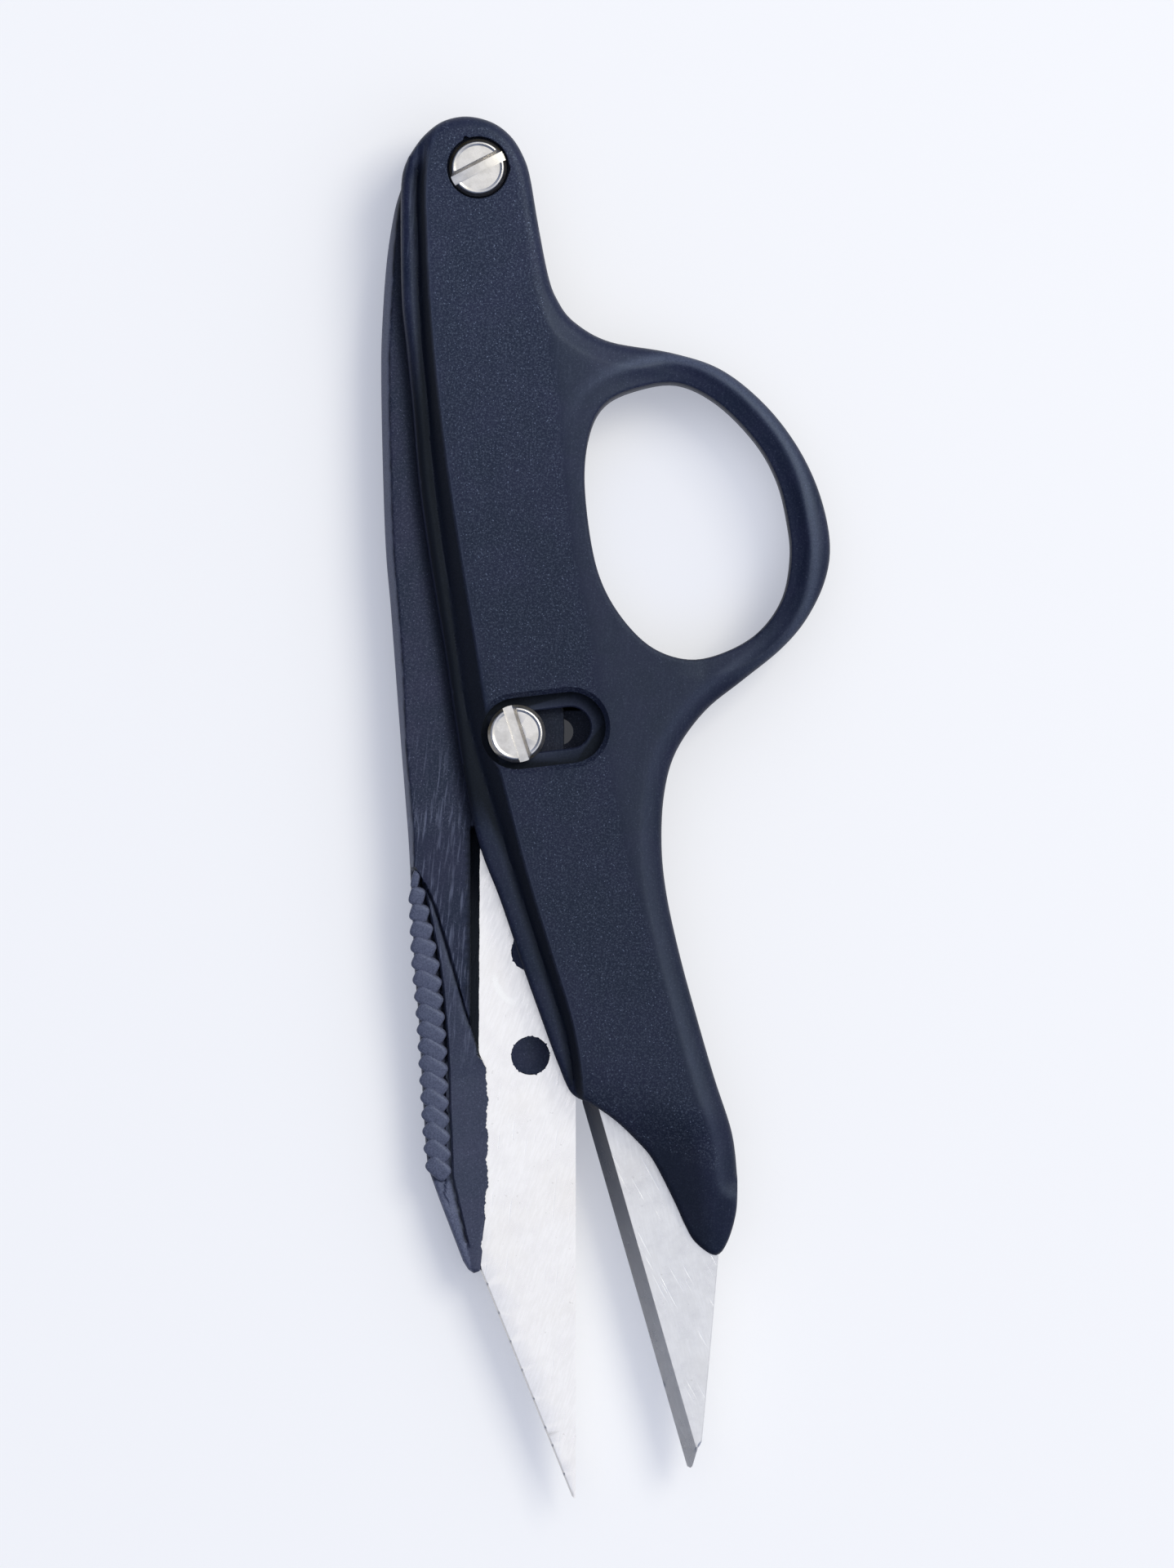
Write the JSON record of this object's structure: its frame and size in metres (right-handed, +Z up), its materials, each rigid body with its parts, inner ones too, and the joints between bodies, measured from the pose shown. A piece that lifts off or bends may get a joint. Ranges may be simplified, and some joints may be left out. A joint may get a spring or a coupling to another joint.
{
  "type": "thread snips",
  "caption": "Spring-opened thread snips with a finger-ring handle, a ribbed thumb lever, moulded-in steel blades and a slotted pivot screw.",
  "frame": {"origin": "on the pivot screw's axis, in the resting plane under the lever", "axes": "+Y from the blade tips towards the pivot end, +X from the thumb lever towards the finger ring, +Z up out of the screw heads"},
  "size_m": [0.0405, 0.1251, 0.0096],
  "materials": {
    "handle_nylon": "spark-textured black nylon, satin on the ring",
    "lever_nylon": "satin black nylon",
    "blade_steel": "fine ground",
    "screw_nickel": "worn nickel plate",
    "insert_brass": "turned",
    "spring_wire": "drawn wire"
  },
  "bodies": {
    "ring_side": {"ring_handle": "handle_nylon", "upper_blade": "blade_steel", "return_spring": "spring_wire"},
    "thumb_side": {"thumb_lever": "lever_nylon", "lower_blade": "blade_steel", "pivot_screw": "screw_nickel", "guide_screw": "screw_nickel", "pivot_insert": "insert_brass", "guide_insert": "insert_brass"}
  },
  "joints": [
    {"name": "lever_pivot", "type": "hinge", "parent": "ring_side", "child": "thumb_side", "pos_m": [0, 0, 0], "axis": [0, 0, 1], "range_deg": [0, 5.44], "stiffness_Nm_per_rad": 1.3, "springref_deg": -3.44, "deforming": ["return_spring"]}
  ]
}
